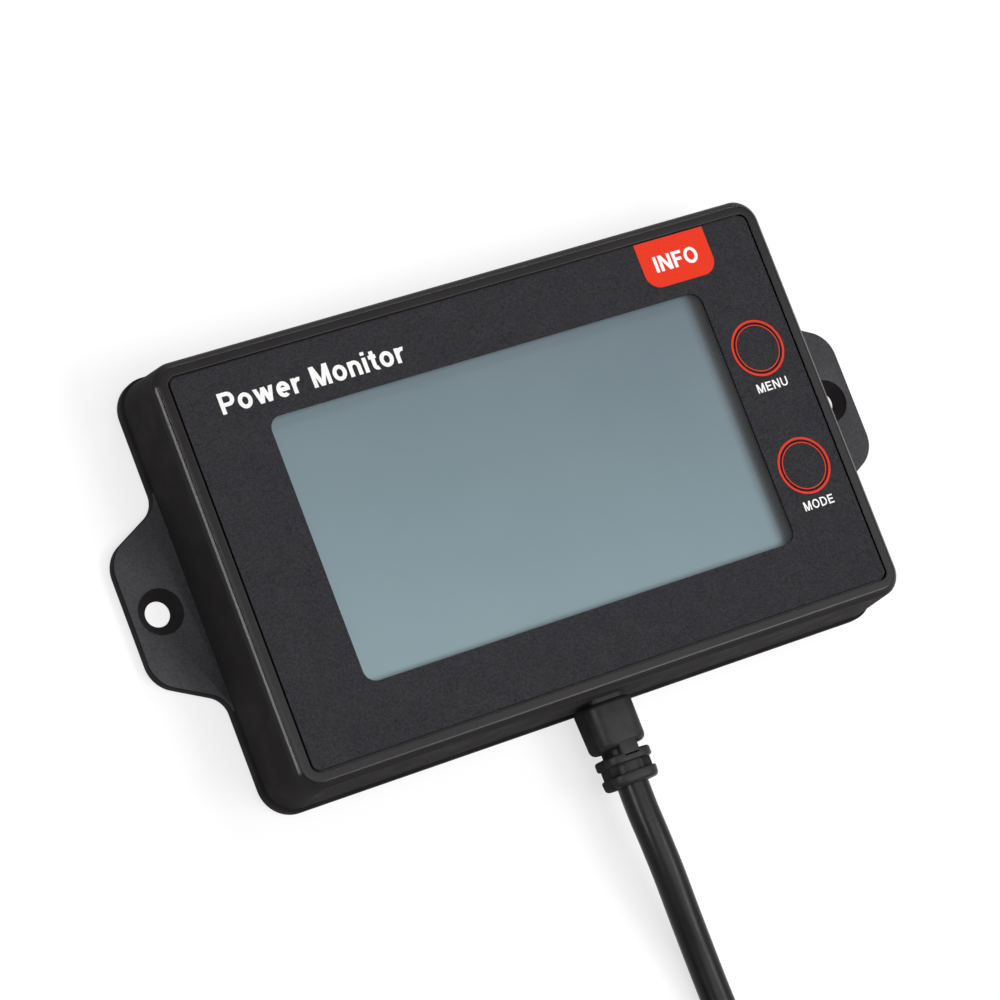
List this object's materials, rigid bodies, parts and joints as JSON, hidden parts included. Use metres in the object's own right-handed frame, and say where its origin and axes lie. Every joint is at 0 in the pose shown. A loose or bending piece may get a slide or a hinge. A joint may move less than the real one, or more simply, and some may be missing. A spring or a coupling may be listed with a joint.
{
  "type": "remote display meter",
  "caption": "Slim black wall display with a grey window, round membrane keys, countersunk mounting ears and a moulded cable ending in a modular plug.",
  "frame": {"origin": "on the back plane, under the centre of the box", "axes": "+X along the face from left to right, +Y up the face, +Z out of the display"},
  "size_m": [0.155, 0.2138, 0.0152],
  "materials": {
    "housing_black": "fine moulded texture",
    "film_charcoal": "embossed leather-grain film",
    "window_clear": "clear acrylic",
    "lcd_grey": "satin reflective polariser",
    "glass_plate": "clear",
    "white_plastic": "satin",
    "board_green": "solder mask",
    "steel_plain": "zinc plated",
    "chip_black": "moulded epoxy",
    "can_silver": "satin",
    "chip_tan": "fired ceramic",
    "nylon_natural": "satin",
    "wire_red": "smooth",
    "boot_black": "soft moulded vinyl",
    "cord_black": "smooth vinyl jacket",
    "plug_clear": "clear polycarbonate",
    "contact_gold": "gold plated"
  },
  "bodies": {
    "root": {"front_housing": "housing_black", "rear_cover": "housing_black", "cover_screws": "steel_plain", "face_film": "film_charcoal", "display_window": "window_clear", "front_polariser": "lcd_grey", "front_glass": "glass_plate", "rear_glass": "glass_plate", "rear_polariser": "white_plastic", "light_guide": "white_plastic", "backlight_frame": "white_plastic", "backlight_leds": "nylon_natural", "display_pins": "steel_plain", "circuit_board": "board_green", "board_screws": "steel_plain", "controller_chip": "chip_black", "driver_chip": "chip_black", "bus_chip": "chip_black", "regulator": "chip_black", "inductor": "chip_black", "crystal": "can_silver", "can_capacitors": "can_silver", "chip_capacitors": "chip_tan", "chip_resistors": "chip_black", "switch_bodies": "chip_black", "cable_header": "nylon_natural", "crimp_housing": "nylon_natural", "inner_wires": "wire_red", "strain_relief": "boot_black", "cord_lead": "cord_black", "cord_coil": "cord_black", "cord_tail": "cord_black", "cord_tie": "cord_black", "plug_body": "plug_clear", "plug_contacts": "contact_gold"},
    "upper_key": {"upper_switch_stem": "chip_black", "upper_key_plunger": "chip_black", "upper_key_disc": "film_charcoal"},
    "lower_key": {"lower_switch_stem": "chip_black", "lower_key_plunger": "chip_black", "lower_key_disc": "film_charcoal"},
    "latch": {"plug_latch": "plug_clear"}
  },
  "joints": [
    {"name": "upper_key_press", "type": "slide", "parent": "root", "child": "upper_key", "axis": [0, 0, -1], "range_m": [0, 0.0003], "stiffness_N_per_m": 800},
    {"name": "lower_key_press", "type": "slide", "parent": "root", "child": "lower_key", "axis": [0, 0, -1], "range_m": [0, 0.0003], "stiffness_N_per_m": 800},
    {"name": "latch_flex", "type": "hinge", "parent": "root", "child": "latch", "pos_m": [-0.079, -0.0746, 0.0081], "axis": [1, 0, 0], "range_deg": [0, 10], "stiffness_Nm_per_rad": 0.02}
  ]
}
